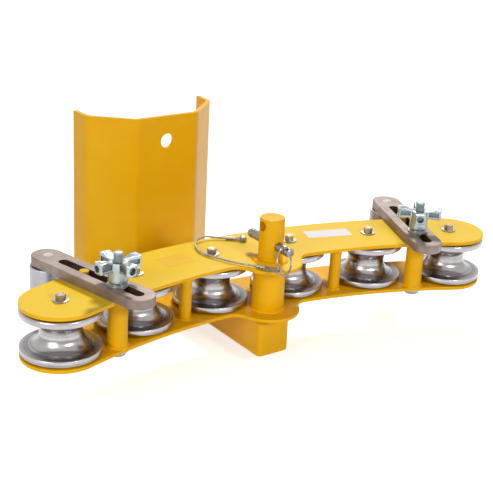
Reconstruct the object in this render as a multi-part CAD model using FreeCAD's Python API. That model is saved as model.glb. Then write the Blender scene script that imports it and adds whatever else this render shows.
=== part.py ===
import FreeCAD, Part
import math
import os

# Corner pulling block: six spool sheaves on an arc between two plates, carried
# on a vertical post that an arm holds out from a bent pole saddle.
# Sizes are millimetres. The block is drawn about its own frame: the post axis
# is Z, the cable plane is Z = 0 and +Y points from the post to the pole. Each
# piece is then placed in the row frame, whose origin is the centre of the
# saddle's bolt hole on its pole side.

# Clearances
running_clearance = 0.06
hole_clearance = 0.15
face_gap = 0.05

# Arc of sheaves
sheave_count = 6
sheave_step_deg = 9.0
arc_radius = 784.0
arc_rise = 51.8
block_swing_deg = -4.5

# Plates
plate_thickness = 4.76
plate_gap = 63.5
plate_half_width = 50.8
plate_edge_round = 0.8
lobe_radius = 43.7
lobe_fillet = 20.0

# Sheaves and their bushes
sheave_dia = 101.6
sheave_side_gap = 1.6
waist_dia = 52.0
groove_radius = 21.0
rim_edge_radius = 3.6
bush_wall = 4.6
bush_end_gap = 0.25

# Axles
axle_bolt_dia = 7.94
axle_sleeve_wall = 2.2
axle_head_height = 5.3
axle_flats = 12.7
axle_nut_height = 6.6
axle_nut_collar = 1.6
axle_bolt_tail = 0.3
axle_washer_dia = 20.6
axle_washer_thickness = 1.6

# Post, sleeve and thrust washer
post_dia = 33.4
post_rise = 60.7
post_chamfer = 1.2
cross_hole_drop = 10.4
cross_hole_dia = 13.5
sleeve_wall = 5.0
sleeve_stand = 3.0
weld_leg = 3.0
weld_root = 0.5
thrust_washer_thickness = 7.5
thrust_washer_dia = 46.0

# Arm
arm_size = 50.8
arm_wall = 4.76
arm_edge_radius = 3.2
arm_inner_radius = 1.0
arm_nose_gap = 0.1
arm_nose_radius = 7.0
arm_cap_thickness = 3.2

# Pole saddle, with its panels measured along the block's side
saddle_thickness = 6.35
saddle_reach = 265.0
saddle_below_arm = 16.54
saddle_height = 279.4
saddle_face_half = 52.1
saddle_wing = 74.4
saddle_wing_deg = 41.2
saddle_lip = 35.3
saddle_lip_deg = 86.0
saddle_bend_radius = 12.0
saddle_hole_dia = 21.5
saddle_hole_drop = 37.8

# Spacers and keeper posts between the plates
spacer_dia = 16.0
spacer_inset = 28.0
spacer_station = 1.0
keeper_post_dia = 25.4
keeper_inset = 36.0
keeper_station = 2.0

# Keeper studs
stud_dia = 12.7
stud_stand = 42.5
stud_head_height = 5.5
stud_head_flats = 19.05
stud_washer_dia = 28.0
stud_washer_thickness = 1.7
stud_chamfer = 1.2

# Keeper bars
bar_width = 41.0
bar_thickness = 12.7
bar_edge_round = 1.0
bar_beyond_roller = 22.5
bar_beyond_slot = 20.5
slot_clearance = 0.45
slot_end_margin = 1.5
slot_beyond_guide = 38.5
keeper_travel_out = 35.0
guide_pin_offset = 25.5
guide_pin_chamfer = 0.6

# Keeper rollers
roller_dia = 48.0
roller_length = 66.0
roller_top_gap = 0.6
roller_plate_gap = 20.2
roller_edge_round = 2.0
roller_pin_dia = 12.7
roller_pin_tail = 6.0
clip_dia = 22.0
clip_thickness = 2.5

# Star knobs
knob_washer_dia = 28.0
knob_washer_thickness = 2.5
hub_dia = 25.4
hub_neck_dia = 22.6
hub_foot = 5.0
hub_height = 29.0
knob_height = 32.3
prong_reach = 31.5
prong_crown = 2.5
prong_root_width = 12.0
prong_tip_width = 15.0
prong_drop = 14.0
prong_saddle_reach = 20.0
prong_pocket_dia = 9.6
prong_pocket_depth = 5.0
prong_round = 1.2
knob_turn_left_deg = 9.5
knob_turn_right_deg = -36.5

# Detent pin and pull ring
pin_dia = 12.7
pin_clearance = 0.1
pin_rise = 23.8
pin_tail = 31.3
pin_end_margin = 5.0
pin_end_chamfer = 1.6
pin_groove_width = 2.0
pin_groove_depth = 2.2
pin_groove_setback = 3.5
detent_ball_radius = 1.8
detent_ball_setback = 6.0
ring_radius = 17.5
ring_wire_dia = 2.5
ring_hole_dia = 4.8
ring_slack = 0.6
ring_hole_inset = 5.2
ring_lean_deg = 57.0
ring_tilt_deg = 27.0

# Lanyard over the top plate
lanyard_dia = 2.6
lanyard_lift = 0.3
lanyard_hump = 3.0
ferrule_dia = 4.8
ferrule_length = 12.7
anchor_out = 22.3
anchor_across = 1.8
anchor_shank_dia = 4.8
anchor_head_dia = 9.5
anchor_head_height = 3.4
anchor_crown = 1.8
eye_gap = 0.3
ring_eye_reach = 11.0
ring_eye_radius = 3.2

# Sizes that follow
plate_in = plate_gap / 2
plate_out = plate_in + plate_thickness
arc_back = arc_radius - arc_rise
sheave_half = plate_in - sheave_side_gap
bush_half = plate_in - bush_end_gap
axle_hole_dia = axle_bolt_dia + 2 * hole_clearance
axle_sleeve_dia = axle_hole_dia + 2 * axle_sleeve_wall
bush_bore = axle_sleeve_dia + 2 * running_clearance
bush_dia = bush_bore + 2 * bush_wall
post_bore = post_dia + 2 * running_clearance
sleeve_dia = post_bore + 2 * sleeve_wall
stud_hole_dia = stud_dia + 2 * hole_clearance
stud_bore = stud_dia + 2 * running_clearance
slot_width = stud_dia + 2 * slot_clearance
slot_inner = keeper_inset + keeper_travel_out + slot_end_margin
slot_outer = guide_pin_offset + slot_beyond_guide
bar_low = plate_out + face_gap
bar_top = bar_low + bar_thickness
roller_offset = plate_half_width + roller_dia / 2 + roller_plate_gap
roller_high = bar_low - roller_top_gap
roller_low = roller_high - roller_length
arm_top = -plate_out - face_gap - thrust_washer_thickness
arm_floor = arm_top - arm_size
arm_nose = post_dia / 2 + arm_cap_thickness + arm_nose_gap
saddle_top = arm_floor - saddle_below_arm + saddle_height
post_top = plate_out + post_rise
cross_hole_z = post_top - cross_hole_drop
pin_z = plate_out + pin_rise
pin_hole_dia = pin_dia + 2 * pin_clearance
ring_hole_y = ring_hole_inset - lobe_radius
pin_front = ring_hole_y - pin_end_margin
pin_back = post_dia / 2 + pin_tail
pole_face = saddle_reach + saddle_thickness
hole_z = saddle_top - saddle_hole_drop
cord_z = plate_out + ferrule_dia / 2 + lanyard_lift
up = FreeCAD.Vector(0, 0, 1)
half_block_deg = sheave_step_deg * (sheave_count - 1) / 2


def vec(x, y, z=0.0):
    return FreeCAD.Vector(x, y, z)


def cylinder(dia, low, high, x=0.0, y=0.0):
    return Part.makeCylinder(dia / 2, high - low, vec(x, y, low), up)


def rod(dia, start, end):
    axis = end.sub(start)
    return Part.makeCylinder(dia / 2, axis.Length, start, axis)


def tube(outer, inner, low, high, x=0.0, y=0.0):
    return cylinder(outer, low, high, x, y).cut(cylinder(inner, low, high, x, y))


def line(start, end):
    return Part.LineSegment(start, end).toShape()


def arc(start, middle, end):
    return Part.Arc(start, middle, end).toShape()


def prism(edges, low, high):
    face = Part.Face(Part.Wire(Part.__sortEdges__(edges)))
    face.translate(vec(0, 0, low))
    return face.extrude(vec(0, 0, high - low))


def hexagon(flats, low, high, x=0.0, y=0.0):
    radius = flats / math.sqrt(3)
    corners = []
    for i in range(7):
        turn = math.radians(60 * i)
        corners.append(vec(x + radius * math.cos(turn), y + radius * math.sin(turn), low))
    face = Part.Face(Part.makePolygon(corners))
    return face.extrude(vec(0, 0, high - low))


def revolve(points):
    corners = [vec(radius, 0, z) for radius, z in points]
    corners.append(corners[0])
    return Part.Face(Part.makePolygon(corners)).revolve(vec(0, 0, 0), up, 360)


def edges_where(shape, test):
    return [edge for edge in shape.Edges if test(edge)]


def level_edges(shape):
    """Edges that lie flat, such as the rims of a plate or a drum."""
    return edges_where(shape, lambda edge: edge.BoundBox.ZLength < face_gap)


def top_edges(shape):
    top = shape.BoundBox.ZMax - face_gap
    return edges_where(shape, lambda edge: edge.BoundBox.ZMin > top)


def bottom_edges(shape):
    bottom = shape.BoundBox.ZMin + face_gap
    return edges_where(shape, lambda edge: edge.BoundBox.ZMax < bottom)


def station(index, offset=0.0, across=0.0):
    """Point at a count of steps from the arc's middle, pushed out and across."""
    turn = math.radians(sheave_step_deg * index)
    reach = arc_radius + offset
    x = reach * math.sin(turn) + across * math.cos(turn)
    y = reach * math.cos(turn) - across * math.sin(turn) - arc_back
    return x, y


def sheave_place(number):
    return station(number - (sheave_count + 1) / 2)


def keeper_place(side, offset):
    return station(side * keeper_station, offset)


def at_every_axle(make):
    places = [sheave_place(number) for number in range(1, sheave_count + 1)]
    return Part.makeCompound([make(x, y) for x, y in places])


def plate_outline():
    """Curved band with round ends, and a lobe round the post with filleted roots."""
    half = math.radians(half_block_deg)
    centre = vec(0, -arc_back)
    outer = arc_radius + plate_half_width
    inner = arc_radius - plate_half_width

    def on(radius, turn):
        return centre.add(vec(radius * math.sin(turn), radius * math.cos(turn)))

    def end_tip(turn):
        side = math.copysign(1, turn)
        along = vec(math.cos(turn) * side, -math.sin(turn) * side)
        return on(arc_radius, turn).add(along * plate_half_width)

    def mirrored(point):
        return vec(-point.x, point.y)

    # The root circle touches the lobe and the band's inner edge from outside.
    to_post = lobe_radius + lobe_fillet
    to_centre = inner - lobe_fillet
    root_y = (to_centre ** 2 - to_post ** 2 - arc_back ** 2) / (2 * arc_back)
    root = vec(math.sqrt(to_post ** 2 - root_y ** 2), root_y)
    touch_lobe = root * (lobe_radius / to_post)
    touch_band = centre.add(root.sub(centre) * (inner / to_centre))
    towards = touch_lobe.add(touch_band).sub(root * 2)
    root_mid = root.add(towards * (lobe_fillet / towards.Length))
    band_turn = math.atan2(touch_band.x, touch_band.y + arc_back)
    band_mid = on(inner, (half + band_turn) / 2)

    edges = [arc(on(outer, -half), on(outer, 0), on(outer, half))]
    edges.append(arc(touch_lobe, vec(0, -lobe_radius), mirrored(touch_lobe)))
    for turn, place in ((half, lambda point: point), (-half, mirrored)):
        edges.append(arc(on(outer, turn), end_tip(turn), on(inner, turn)))
        edges.append(arc(on(inner, turn), place(band_mid), place(touch_band)))
        edges.append(arc(place(touch_band), place(root_mid), place(touch_lobe)))
    return edges


def plate(low):
    """Side plate with holes for the sleeve, the axle bolts and the keeper studs."""
    high = low + plate_thickness
    body = prism(plate_outline(), low, high)
    body = body.makeFillet(plate_edge_round, level_edges(body))
    holes = [cylinder(sleeve_dia, low, high)]
    holes.append(at_every_axle(lambda x, y: cylinder(axle_hole_dia, low, high, x, y)))
    for side in (-1, 1):
        x, y = keeper_place(side, -keeper_inset)
        holes.append(cylinder(stud_hole_dia, low, high, x, y))
    return body.cut(Part.makeCompound(holes))


def top_plate():
    x, y = station(0, anchor_out, anchor_across)
    return plate(plate_in).cut(cylinder(anchor_shank_dia, plate_in, plate_out, x, y))


def sheave(number):
    """Spool with a deep round groove and rounded rims."""
    rim = sheave_dia / 2
    waist = waist_dia / 2
    bore = bush_dia / 2
    wall = waist + groove_radius
    half = sheave_half
    profile = [
        line(vec(bore, 0, -half), vec(rim, 0, -half)),
        line(vec(rim, 0, -half), vec(rim, 0, -groove_radius)),
        line(vec(rim, 0, -groove_radius), vec(wall, 0, -groove_radius)),
        arc(vec(wall, 0, -groove_radius), vec(waist, 0, 0), vec(wall, 0, groove_radius)),
        line(vec(wall, 0, groove_radius), vec(rim, 0, groove_radius)),
        line(vec(rim, 0, groove_radius), vec(rim, 0, half)),
        line(vec(rim, 0, half), vec(bore, 0, half)),
        line(vec(bore, 0, half), vec(bore, 0, -half)),
    ]
    solid = Part.Face(Part.Wire(profile)).revolve(vec(0, 0, 0), up, 360)
    rims = [edge for edge in level_edges(solid) if edge.BoundBox.XMax > rim - face_gap]
    solid = solid.makeFillet(rim_edge_radius, rims)
    x, y = sheave_place(number)
    solid.translate(vec(x, y))
    return solid


def sheave_bush(number):
    x, y = sheave_place(number)
    return tube(bush_dia, bush_bore, -bush_half, bush_half, x, y)


def axle_sleeve(number):
    x, y = sheave_place(number)
    return tube(axle_sleeve_dia, axle_hole_dia, -plate_in, plate_in, x, y)


def axle_bolts():
    """Hex bolts up through both plates and the sleeves."""
    top = plate_out + axle_washer_thickness + axle_nut_height + axle_bolt_tail

    def bolt(x, y):
        head = hexagon(axle_flats, -plate_out - axle_head_height, -plate_out, x, y)
        return head.fuse(cylinder(axle_bolt_dia, -plate_out, top, x, y))

    return at_every_axle(bolt)


def axle_nuts():
    """Lock nuts: a hexagon with a round collar on top."""
    low = plate_out + axle_washer_thickness
    shoulder = low + axle_nut_height - axle_nut_collar
    high = low + axle_nut_height

    def nut(x, y):
        body = hexagon(axle_flats, low, shoulder, x, y)
        body = body.fuse(cylinder(axle_flats, shoulder, high, x, y))
        return body.cut(cylinder(axle_bolt_dia, low, high, x, y))

    return at_every_axle(nut)


def axle_washers():
    high = plate_out + axle_washer_thickness
    return at_every_axle(lambda x, y: tube(axle_washer_dia, axle_hole_dia, plate_out, high, x, y))


def pivot_sleeve():
    """Tube through both plates, with a weld bead where it stands above the top one."""
    top = plate_out + sleeve_stand
    body = cylinder(sleeve_dia, -plate_out, top)
    root = sleeve_dia / 2 - weld_root
    foot = sleeve_dia / 2 + weld_leg
    bead = revolve([(root, plate_out), (foot, plate_out), (root, plate_out + weld_leg)])
    return body.fuse(bead).cut(cylinder(post_bore, -plate_out, top))


def spacer(side):
    x, y = station(side * spacer_station, -spacer_inset)
    return cylinder(spacer_dia, -plate_in, plate_in, x, y)


def keeper_post(side):
    x, y = keeper_place(side, -keeper_inset)
    return tube(keeper_post_dia, stud_hole_dia, -plate_in, plate_in, x, y)


def guide_pin(side):
    """Round pin welded on the top plate, flush with the bar that it guides."""
    x, y = keeper_place(side, guide_pin_offset)
    pin = cylinder(stud_dia, plate_out, bar_top, x, y)
    return pin.makeChamfer(guide_pin_chamfer, top_edges(pin))


def keeper_stud(side):
    """Long hex bolt up through both plates, the keeper post and the bar's slot."""
    x, y = keeper_place(side, -keeper_inset)
    seat = -plate_out - stud_washer_thickness
    shank = cylinder(stud_dia, seat, bar_top + stud_stand, x, y)
    shank = shank.makeChamfer(stud_chamfer, top_edges(shank))
    return shank.fuse(hexagon(stud_head_flats, seat - stud_head_height, seat, x, y))


def stud_washers():
    low = -plate_out - stud_washer_thickness
    places = [keeper_place(side, -keeper_inset) for side in (-1, 1)]
    return Part.makeCompound([tube(stud_washer_dia, stud_hole_dia, low, -plate_out, x, y) for x, y in places])


def along_bar(solid, side):
    """Turns a piece drawn with +Y along the bar's outward direction into place."""
    x, y = keeper_place(side, 0)
    solid.rotate(vec(0, 0, 0), up, -side * keeper_station * sheave_step_deg)
    solid.translate(vec(x, y))
    return solid


def stadium(width, back, front, low, high):
    """Strip whose full round ends are centred at y = -back and y = front."""
    half = width / 2
    edges = [
        line(vec(half, -back), vec(half, front)),
        arc(vec(half, front), vec(0, front + half), vec(-half, front)),
        line(vec(-half, front), vec(-half, -back)),
        arc(vec(-half, -back), vec(0, -back - half), vec(half, -back)),
    ]
    return prism(edges, low, high)


def keeper_bar(side):
    """Slotted flat bar with full round ends, lying on the top plate."""
    half = bar_width / 2
    back = slot_inner + bar_beyond_slot - half
    front = roller_offset + bar_beyond_roller - half
    bar = stadium(bar_width, back, front, bar_low, bar_top)
    bar = bar.makeFillet(bar_edge_round, level_edges(bar))
    slot = stadium(slot_width, slot_inner, slot_outer, bar_low, bar_top)
    hole = cylinder(roller_pin_dia, bar_low, bar_top, 0, roller_offset)
    return along_bar(bar.cut(slot).cut(hole), side)


def roller_pin(side):
    """Pin fixed flush in the bar, long enough below the roller for its clip."""
    foot = roller_low - face_gap - clip_thickness - roller_pin_tail
    pin = cylinder(roller_pin_dia, foot, bar_top, 0, roller_offset)
    return along_bar(pin.makeChamfer(stud_chamfer, bottom_edges(pin)), side)


def roller_clip(side):
    high = roller_low - face_gap
    return along_bar(tube(clip_dia, roller_pin_dia, high - clip_thickness, high, 0, roller_offset), side)


def keeper_roller(side):
    drum = cylinder(roller_dia, roller_low, roller_high, 0, roller_offset)
    drum = drum.makeFillet(roller_edge_round, level_edges(drum))
    bore = cylinder(roller_pin_dia + 2 * running_clearance, roller_low, roller_high, 0, roller_offset)
    return along_bar(drum.cut(bore), side)


def knob_washer(side):
    x, y = keeper_place(side, -keeper_inset)
    low = bar_top + face_gap
    return tube(knob_washer_dia, stud_bore, low, low + knob_washer_thickness, x, y)


def prong(base):
    """One arm of the star: flared in plan, dipped near the hub, hollow at its tip."""
    root = prong_root_width / 2
    tip = prong_tip_width / 2
    shoulder = prong_reach - prong_crown
    edges = [
        line(vec(0, -root), vec(shoulder, -tip)),
        arc(vec(shoulder, -tip), vec(prong_reach, 0), vec(shoulder, tip)),
        line(vec(shoulder, tip), vec(0, root)),
        line(vec(0, root), vec(0, -root)),
    ]
    high = base + knob_height
    blank = prism(edges, high - prong_drop, high)
    side_view = [
        vec(hub_neck_dia / 2, -tip, base + hub_height),
        vec(prong_saddle_reach, -tip, high),
        vec(hub_neck_dia / 2, -tip, high),
    ]
    dip = Part.Face(Part.makePolygon(side_view + side_view[:1])).extrude(vec(0, 2 * tip, 0))
    hub_top = Part.makeBox(hub_neck_dia / 2, 2 * tip, knob_height - hub_height, vec(0, -tip, base + hub_height))
    blank = blank.cut(dip).cut(hub_top)
    neck = hub_neck_dia / 2
    blank = blank.makeFillet(prong_round, edges_where(blank, lambda edge: edge.BoundBox.XMin > neck))
    middle = high - prong_drop / 2
    pocket = rod(prong_pocket_dia, vec(prong_reach - prong_pocket_depth, 0, middle), vec(prong_reach, 0, middle))
    return blank.cut(pocket)


def star_knob(side):
    """Four-armed cast knob on a waisted hub, bored for the stud."""
    base = bar_top + 2 * face_gap + knob_washer_thickness
    foot = hub_dia / 2
    neck = hub_neck_dia / 2
    under = base + knob_height - prong_drop
    top = base + hub_height
    body = revolve([(0, base), (foot, base), (foot, base + hub_foot), (neck, under), (neck, top), (0, top)])
    turn = knob_turn_left_deg if side < 0 else knob_turn_right_deg
    for quarter in range(4):
        arm = prong(base)
        arm.rotate(vec(0, 0, 0), up, turn + 90 * quarter)
        body = body.fuse(arm)
    body = body.cut(cylinder(stud_bore, base, base + knob_height))
    x, y = keeper_place(side, -keeper_inset)
    body.translate(vec(x, y))
    return body


def thrust_washer():
    return tube(thrust_washer_dia, post_bore, arm_top, arm_top + thrust_washer_thickness)


def swivel_post():
    """Solid post from the arm's floor up through the block, with two cross holes."""
    post = cylinder(post_dia, arm_floor + arm_wall, post_top)
    post = post.makeChamfer(post_chamfer, top_edges(post))
    lower = rod(pin_hole_dia, vec(0, -post_dia, pin_z), vec(0, post_dia, pin_z))
    upper = rod(cross_hole_dia, vec(-post_dia, 0, cross_hole_z), vec(post_dia, 0, cross_hole_z))
    return post.cut(lower).cut(upper)


def arm_outside():
    """Outer form of the arm and its cap, with upright corners rounded at the nose."""
    half = arm_size / 2
    bar = Part.makeBox(arm_size, saddle_reach + arm_nose, arm_size, vec(-half, -arm_nose, arm_floor))
    bar = bar.makeFillet(arm_nose_radius, edges_where(
        bar, lambda edge: edge.BoundBox.ZLength > half and edge.BoundBox.YMax < 0))
    return bar.makeFillet(arm_edge_radius, edges_where(bar, lambda edge: edge.BoundBox.YLength > arm_size))


def cap_slice():
    return Part.makeBox(arm_size, arm_cap_thickness, arm_size, vec(-arm_size / 2, -arm_nose, arm_floor))


def support_arm():
    start = arm_cap_thickness - arm_nose
    inner = arm_size - 2 * arm_wall
    inside = Part.makeBox(inner, saddle_reach - start, inner, vec(-inner / 2, start, arm_floor + arm_wall))
    long_edges = edges_where(inside, lambda edge: edge.BoundBox.YLength > arm_size)
    inside = inside.makeFillet(arm_inner_radius, long_edges)
    socket = cylinder(post_dia, arm_floor + arm_wall, arm_top)
    return arm_outside().cut(cap_slice()).cut(inside).cut(socket)


def arm_end_cap():
    return arm_outside().common(cap_slice())


def saddle_side(inset):
    """Corners of the bent plate in plan, on a line set in from the block's side."""
    turns = [0.0, math.radians(saddle_wing_deg), math.radians(saddle_lip_deg)]
    corner = vec(saddle_face_half, 0)
    right = []
    for before, after, run in zip(turns, turns[1:], (saddle_wing, saddle_lip)):
        lean = (before + after) / 2
        miter = inset / math.cos((after - before) / 2)
        right.append(corner.add(vec(-math.sin(lean), math.cos(lean)) * miter))
        corner = corner.add(vec(math.cos(after), math.sin(after)) * run)
    right.append(corner.add(vec(-math.sin(turns[-1]), math.cos(turns[-1])) * inset))
    left = [vec(-point.x, point.y) for point in reversed(right)]
    return left + right


def rounded_path(points, radii):
    """Straight runs through the points, with a tangent arc at each inner one."""
    edges = []
    start = points[0]
    for back, corner, ahead, radius in zip(points, points[1:], points[2:], radii):
        to_back = back.sub(corner).normalize()
        to_ahead = ahead.sub(corner).normalize()
        half = to_back.getAngle(to_ahead) / 2
        setback = radius / math.tan(half)
        entry = corner.add(to_back * setback)
        leave = corner.add(to_ahead * setback)
        middle = to_back.add(to_ahead).normalize()
        edges.append(line(start, entry))
        edges.append(arc(entry, corner.add(middle * (radius / math.sin(half) - radius)), leave))
        start = leave
    edges.append(line(start, points[-1]))
    return edges


def pole_saddle():
    """Plate bent back at four lines to cradle the pole, with one bolt hole."""
    front = saddle_side(0.0)
    back = saddle_side(saddle_thickness)
    bends = len(front) - 2
    edges = rounded_path(front, [saddle_bend_radius + saddle_thickness] * bends)
    edges += rounded_path(back, [saddle_bend_radius] * bends)
    edges.append(line(front[0], back[0]))
    edges.append(line(front[-1], back[-1]))
    bent = prism(edges, saddle_top - saddle_height, saddle_top)
    bent.translate(vec(0, saddle_reach))
    return bent.cut(rod(saddle_hole_dia, vec(0, saddle_reach, hole_z), vec(0, pole_face, hole_z)))


def ring_axis():
    lean = math.radians(ring_lean_deg)
    return vec(math.cos(lean), 0, -math.sin(lean))


def detent_pin():
    """Pin through the post: neck and ring hole in front, two balls near its tail."""
    pin = rod(pin_dia, vec(0, pin_front, pin_z), vec(0, pin_back, pin_z))
    pin = pin.makeChamfer(pin_end_chamfer, edges_where(pin, lambda edge: edge.BoundBox.YLength < face_gap))
    neck_front = vec(0, ring_hole_y + pin_groove_setback, pin_z)
    neck_back = neck_front.add(vec(0, pin_groove_width, 0))
    neck = rod(pin_dia, neck_front, neck_back).cut(rod(pin_dia - 2 * pin_groove_depth, neck_front, neck_back))
    hole = vec(0, ring_hole_y, pin_z)
    reach = ring_axis() * pin_dia
    pin = pin.cut(neck).cut(rod(ring_hole_dia, hole.sub(reach), hole.add(reach)))
    for side in (-1, 1):
        x = side * (pin_dia / 2 + pin_clearance / 2 - detent_ball_radius)
        y = pin_back - detent_ball_setback
        pin = pin.fuse(Part.makeSphere(detent_ball_radius, vec(x, y, pin_z)))
    return pin


def pull_ring():
    """Ring through the pin's cross hole, hanging out over the lobe's edge."""
    lean = math.radians(ring_lean_deg)
    tilt = math.radians(ring_tilt_deg)
    down = vec(-math.sin(lean), 0, -math.cos(lean)) * math.cos(tilt) - vec(0, math.sin(tilt))
    centre = vec(0, ring_hole_y, pin_z).add(down * (ring_radius - ring_slack))
    return Part.makeTorus(ring_radius, ring_wire_dia / 2, centre, ring_axis().cross(down))


def lanyard_points():
    """Route of the wire rope over the top plate, from the anchor to the ring."""
    low = cord_z
    high = cord_z + lanyard_hump
    return [
        vec(-18.5, 87.0, low), vec(-30.5, 94.0, low), vec(-44.0, 98.0, high),
        vec(-57.5, 94.5, high), vec(-67.5, 84.5, low), vec(-73.0, 71.0, low),
        vec(-75.5, 55.0, low), vec(-71.0, 39.0, low), vec(-63.0, 24.0, low),
        vec(-54.0, 8.5, low), vec(-43.0, -6.0, low), vec(-32.0, -17.5, low),
    ]


def cord_tube(points, dia):
    """Tube along straight runs joined by tangent arcs; prints the arc radii."""
    radii = []
    for back, corner, ahead in zip(points, points[1:], points[2:]):
        to_back = back.sub(corner)
        to_ahead = ahead.sub(corner)
        half_turn = (math.pi - to_back.getAngle(to_ahead)) / 2
        radii.append(0.45 * min(to_back.Length, to_ahead.Length) / math.tan(half_turn))
    path = Part.Wire(rounded_path(points, radii))
    section = Part.Wire(Part.makeCircle(dia / 2, points[0], points[1].sub(points[0])))
    swept = path.makePipeShell([section], True, True)
    print("cord radii", [round(radius, 1) for radius in radii], "length", round(path.Length, 1))
    print("tube volume over section times length", swept.Volume / (path.Length * math.pi * dia ** 2 / 4))
    return swept


def cord_eye(mouth, centre, radius):
    """Loop of cord out of a ferrule's mouth and round a centre."""
    strand = lanyard_dia / 2
    ahead = centre.sub(mouth)
    reach = ahead.Length
    ahead.normalize()
    across = up.cross(ahead)
    spread = math.asin((radius - strand) / reach)
    normals = [across * (side * math.cos(spread)) - ahead * math.sin(spread) for side in (-1, 1)]
    starts = [mouth.add(normal * strand) for normal in normals]
    touches = [centre.add(normal * radius) for normal in normals]
    path = Part.Wire([
        line(starts[0], touches[0]),
        arc(touches[0], centre.add(ahead * radius), touches[1]),
        line(touches[1], starts[1]),
    ])
    section = Part.Wire(Part.makeCircle(strand, starts[0], touches[0].sub(starts[0])))
    return path.makePipeShell([section], True, True)


def ferrule_mouth(end, inner):
    return end.add(end.sub(inner).normalize() * ferrule_length)


def anchor_place():
    x, y = station(0, anchor_out, anchor_across)
    return vec(x, y, cord_z)


def lanyard():
    """Rope between its ferrules, with an eye round the anchor and one at the ring."""
    points = lanyard_points()
    anchor_mouth = ferrule_mouth(points[0], points[1])
    ring_mouth = ferrule_mouth(points[-1], points[-2])
    ahead = points[-1].sub(points[-2]).normalize()
    anchor_radius = (anchor_shank_dia + lanyard_dia) / 2 + eye_gap
    anchor_eye = cord_eye(anchor_mouth, anchor_place(), anchor_radius)
    ring_eye = cord_eye(ring_mouth, ring_mouth.add(ahead * ring_eye_reach), ring_eye_radius)
    return Part.makeCompound([cord_tube(points, lanyard_dia), anchor_eye, ring_eye])


def lanyard_ferrules():
    points = lanyard_points()
    ends = ((points[0], points[1]), (points[-1], points[-2]))
    return Part.makeCompound([rod(ferrule_dia, end, ferrule_mouth(end, inner)) for end, inner in ends])


def lanyard_anchor():
    """Pan-head screw in the top plate, with the rope's eye under its head."""
    place = anchor_place()
    seat = cord_z + lanyard_dia / 2 + lanyard_lift
    head = cylinder(anchor_head_dia, seat, seat + anchor_head_height, place.x, place.y)
    head = head.makeFillet(anchor_crown, top_edges(head))
    return head.fuse(cylinder(anchor_shank_dia, plate_in, seat, place.x, place.y))


def export(name, solid, swung=True):
    """Places a piece in the row frame, turned with the block where it belongs to it."""
    if swung:
        solid.rotate(vec(0, 0, 0), up, block_swing_deg)
    solid.translate(vec(0, -pole_face, -hole_z))
    solid.exportStep("parts/" + name + ".step")


def main():
    os.makedirs("parts", exist_ok=True)
    for make in (pole_saddle, support_arm, arm_end_cap, swivel_post, thrust_washer, detent_pin, pull_ring):
        export(make.__name__, make(), False)
    export("bottom_plate", plate(-plate_out))
    for make in (top_plate, pivot_sleeve, axle_bolts, axle_nuts, axle_washers, stud_washers):
        export(make.__name__, make())
    for make in (lanyard, lanyard_ferrules, lanyard_anchor):
        export(make.__name__, make())
    for make in (sheave, sheave_bush, axle_sleeve):
        for number in range(1, sheave_count + 1):
            export(make.__name__ + "_%d" % number, make(number))
    for make in (spacer, keeper_post, guide_pin, keeper_stud, keeper_bar, roller_pin, roller_clip,
                 keeper_roller, knob_washer, star_knob):
        for side, name in ((-1, "left"), (1, "right")):
            export(make.__name__ + "_" + name, make(side))


main()
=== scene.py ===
import math

import bmesh
import bpy
from mathutils import Matrix, Vector


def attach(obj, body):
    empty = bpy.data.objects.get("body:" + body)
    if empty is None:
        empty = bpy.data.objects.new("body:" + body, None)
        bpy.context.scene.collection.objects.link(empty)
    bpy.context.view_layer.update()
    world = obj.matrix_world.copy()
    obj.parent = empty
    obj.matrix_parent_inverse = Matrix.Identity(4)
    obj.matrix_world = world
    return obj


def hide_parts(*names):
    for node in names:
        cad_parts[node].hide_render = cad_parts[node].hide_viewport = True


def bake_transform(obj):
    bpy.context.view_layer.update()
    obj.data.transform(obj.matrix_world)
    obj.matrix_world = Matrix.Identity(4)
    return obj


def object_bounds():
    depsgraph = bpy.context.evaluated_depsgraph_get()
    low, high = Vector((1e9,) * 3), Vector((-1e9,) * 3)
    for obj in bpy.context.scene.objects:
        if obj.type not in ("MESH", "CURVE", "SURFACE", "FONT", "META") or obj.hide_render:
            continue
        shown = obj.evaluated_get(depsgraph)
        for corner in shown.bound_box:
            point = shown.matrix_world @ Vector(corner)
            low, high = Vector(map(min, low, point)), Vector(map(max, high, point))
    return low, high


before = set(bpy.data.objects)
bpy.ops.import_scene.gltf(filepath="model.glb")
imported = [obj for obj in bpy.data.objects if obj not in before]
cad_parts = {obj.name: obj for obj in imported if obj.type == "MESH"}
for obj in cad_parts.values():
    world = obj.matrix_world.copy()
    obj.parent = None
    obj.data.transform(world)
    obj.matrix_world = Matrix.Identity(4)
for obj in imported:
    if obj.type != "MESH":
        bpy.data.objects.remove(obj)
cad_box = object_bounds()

# Sizes are in mm, unless a comment says metres. The block frame has the post's axis as Z, the
# pole's side as +Y and the cable plane at zero; the row frame is the shared frame, in metres.
MM = 0.001
POLE_FACE = 271.35
HOLE_Z = 130.2
BLOCK_SWING = math.radians(-4.5)

SHEAVE_COUNT = 6
STEP = math.radians(9.0)
ARC_RADIUS = 784.0
ARC_BACK = 732.2

PLATE_IN = 31.75
PLATE_OUT = 36.51
SHEAVE_RIM = 50.8
SHEAVE_HALF = 30.15
WAIST = 26.0
GROOVE = 21.0
BUSH_RADIUS = 11.0

POST_RADIUS = 16.7
POST_TOP = 97.21
CROSS_HOLE_Z = 86.81
CROSS_HOLE_RADIUS = 6.75
PIN_Z = 60.31
PIN_RADIUS = 6.35
PIN_FRONT = -43.5
PIN_BACK = 48.0
PIN_HOLE_RADIUS = 6.45
SLEEVE_RADIUS = 21.76
SLEEVE_BORE = 16.76
SLEEVE_TOP = 39.51
ARM_TOP = -44.06
ARM_FLOOR = -94.86
ARM_HALF = 25.4
ARM_WALL = 4.76
SADDLE_REACH = 265.0

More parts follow.
